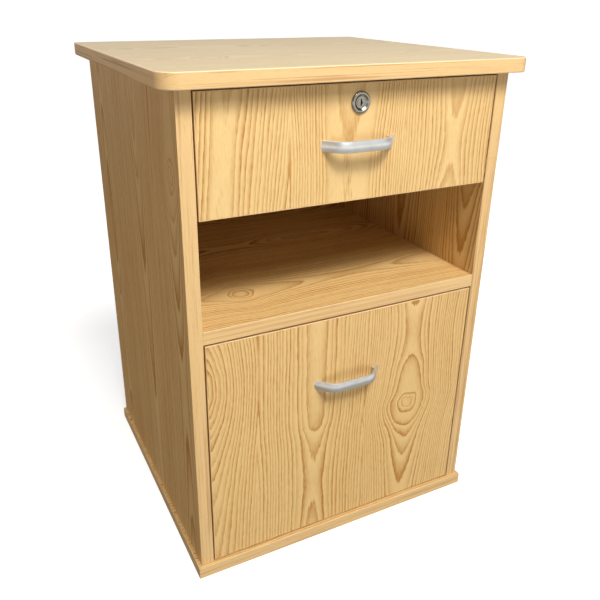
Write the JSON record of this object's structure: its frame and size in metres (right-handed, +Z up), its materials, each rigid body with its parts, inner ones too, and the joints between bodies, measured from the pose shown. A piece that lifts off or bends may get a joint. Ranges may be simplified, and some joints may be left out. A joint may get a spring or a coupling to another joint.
{
  "type": "bedside cabinet",
  "caption": "Light wood bedside cabinet with a lockable top drawer, an open niche and a deep lower drawer, bow handles and an overhanging top with rounded front corners.",
  "frame": {"origin": "centre of the underside of the base panel, on the floor", "axes": "+X to the right seen from the front, +Y to the rear, away from the drawer fronts, +Z up"},
  "size_m": [0.49, 0.4543, 0.686],
  "materials": {
    "oak_laminate": "satin wood-grain laminate",
    "oak_edging": "satin printed edging",
    "white_board": "white melamine, light texture",
    "satin_silver": "satin",
    "nickel": "bright nickel plate",
    "zinc_steel": "zinc plated",
    "white_steel": "white powder coat",
    "white_nylon": "matte",
    "beech": "bare wood"
  },
  "bodies": {
    "cabinet": {"back_panel": "oak_laminate", "base_edging": "oak_edging", "base_panel": "oak_laminate", "base_screws": "zinc_steel", "cabinet_runner_screws": "zinc_steel", "cam_bolts": "zinc_steel", "cam_discs": "zinc_steel", "carcass_dowels": "beech", "left_side_edging": "oak_edging", "left_side_panel": "oak_laminate", "lock_strike": "zinc_steel", "lock_strike_screws": "zinc_steel", "lower_left_cabinet_runner": "white_steel", "lower_right_cabinet_runner": "white_steel", "right_side_edging": "oak_edging", "right_side_panel": "oak_laminate", "shelf_edging": "oak_edging", "shelf_panel": "oak_laminate", "top_edging": "oak_edging", "top_left_cabinet_runner": "white_steel", "top_panel": "oak_laminate", "top_right_cabinet_runner": "white_steel"},
    "top_drawer": {"lock_housing": "nickel", "lock_nut": "nickel", "top_drawer_back": "white_board", "top_drawer_bottom": "white_board", "top_drawer_dowels": "beech", "top_drawer_front": "oak_laminate", "top_drawer_front_edging": "oak_edging", "top_drawer_left_side": "white_board", "top_drawer_right_side": "white_board", "top_drawer_runner_screws": "zinc_steel", "top_handle": "satin_silver", "top_handle_screws": "zinc_steel", "top_left_drawer_runner": "white_steel", "top_right_drawer_runner": "white_steel"},
    "lower_drawer": {"lower_drawer_back": "white_board", "lower_drawer_bottom": "white_board", "lower_drawer_dowels": "beech", "lower_drawer_front": "oak_laminate", "lower_drawer_front_edging": "oak_edging", "lower_drawer_left_side": "white_board", "lower_drawer_right_side": "white_board", "lower_drawer_runner_screws": "zinc_steel", "lower_handle": "satin_silver", "lower_handle_screws": "zinc_steel", "lower_left_drawer_runner": "white_steel", "lower_right_drawer_runner": "white_steel"},
    "lock": {"lock_cam": "zinc_steel", "lock_cam_screw": "zinc_steel", "lock_plug": "nickel"},
    "top_front_rollers": {"top_left_front_roller": "white_nylon", "top_right_front_roller": "white_nylon"},
    "top_rear_rollers": {"top_left_rear_roller": "white_nylon", "top_right_rear_roller": "white_nylon"},
    "lower_front_rollers": {"lower_left_front_roller": "white_nylon", "lower_right_front_roller": "white_nylon"},
    "lower_rear_rollers": {"lower_left_rear_roller": "white_nylon", "lower_right_rear_roller": "white_nylon"}
  },
  "joints": [
    {"name": "top_drawer", "type": "slide", "parent": "cabinet", "child": "top_drawer", "axis": [0, -1, 0], "range_m": [0, 0.29]},
    {"name": "lower_drawer", "type": "slide", "parent": "cabinet", "child": "lower_drawer", "axis": [0, -1, 0], "range_m": [0, 0.29]},
    {"name": "lock_turn", "type": "hinge", "parent": "top_drawer", "child": "lock", "pos_m": [0, -0.2135, 0.6415], "axis": [0, 1, 0], "range_deg": [0, 90]},
    {"name": "top_front_rollers", "type": "hinge", "parent": "cabinet", "child": "top_front_rollers", "pos_m": [0, -0.1805, 0.5485], "axis": [1, 0, 0], "range_deg": [0, 1662]},
    {"name": "top_rear_rollers", "type": "hinge", "parent": "top_drawer", "child": "top_rear_rollers", "pos_m": [0, 0.1435, 0.5485], "axis": [1, 0, 0], "range_deg": [0, 1662]},
    {"name": "lower_front_rollers", "type": "hinge", "parent": "cabinet", "child": "lower_front_rollers", "pos_m": [0, -0.1805, 0.0455], "axis": [1, 0, 0], "range_deg": [0, 1662]},
    {"name": "lower_rear_rollers", "type": "hinge", "parent": "lower_drawer", "child": "lower_rear_rollers", "pos_m": [0, 0.1435, 0.0455], "axis": [1, 0, 0], "range_deg": [0, 1662]}
  ],
  "couplings": [
    {"joint": "top_front_rollers", "follows": "top_drawer", "rad_per_m": 100},
    {"joint": "top_rear_rollers", "follows": "top_drawer", "rad_per_m": 100},
    {"joint": "lower_front_rollers", "follows": "lower_drawer", "rad_per_m": 100},
    {"joint": "lower_rear_rollers", "follows": "lower_drawer", "rad_per_m": 100}
  ]
}
